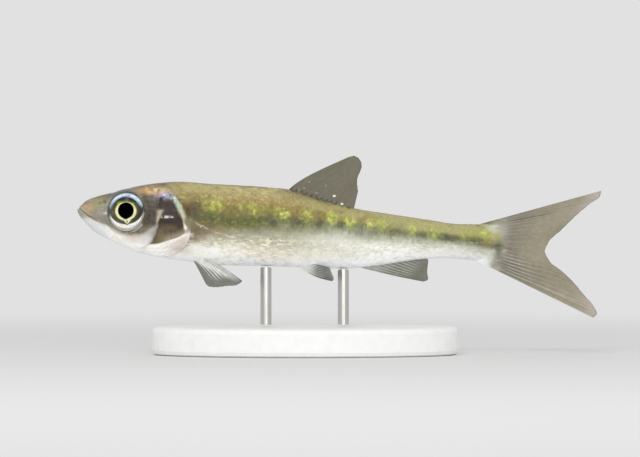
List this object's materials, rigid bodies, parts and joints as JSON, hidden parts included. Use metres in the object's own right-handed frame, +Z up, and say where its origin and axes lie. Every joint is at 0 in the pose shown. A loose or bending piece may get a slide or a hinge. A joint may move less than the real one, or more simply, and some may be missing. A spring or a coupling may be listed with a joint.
{
  "type": "fish model",
  "caption": "Young pale chub, a slender silvery stream fish, modelled life size with spread fins and held level over a flat oval base by slim upright rods.",
  "frame": {"origin": "Centre of the whole model's bounding box on the plane that the base stands on.", "axes": "+Z up. The fish looks along -X, so its tail fin points along +X, and its left side faces -Y."},
  "size_m": [0.0751, 0.025, 0.0285],
  "materials": {
    "head_skin": "moist olive and silver skin",
    "jaw_skin": "pale moist skin",
    "gill_cover_skin": "dark pearly plate",
    "eye": "clear and wet",
    "body_skin": "olive back, green and yellow side band, white belly",
    "upper_fin": "thin grey-brown web",
    "lower_fin": "thin grey web",
    "stand_rod": "satin",
    "stand_base": "matt"
  },
  "bodies": {
    "root": {"head": "head_skin", "lower_jaw": "jaw_skin", "gill_cover_left": "gill_cover_skin", "gill_cover_right": "gill_cover_skin", "eye_left": "eye", "eye_right": "eye", "trunk": "body_skin", "tail_stalk": "body_skin", "dorsal_fin": "upper_fin", "tail_fin_upper": "upper_fin", "tail_fin_lower": "upper_fin", "anal_fin": "lower_fin", "pectoral_fin_left": "lower_fin", "pectoral_fin_right": "lower_fin", "pelvic_fin_left": "lower_fin", "pelvic_fin_right": "lower_fin", "stand_rod_front": "stand_rod", "stand_rod_back": "stand_rod", "stand_base": "stand_base"}
  },
  "joints": []
}
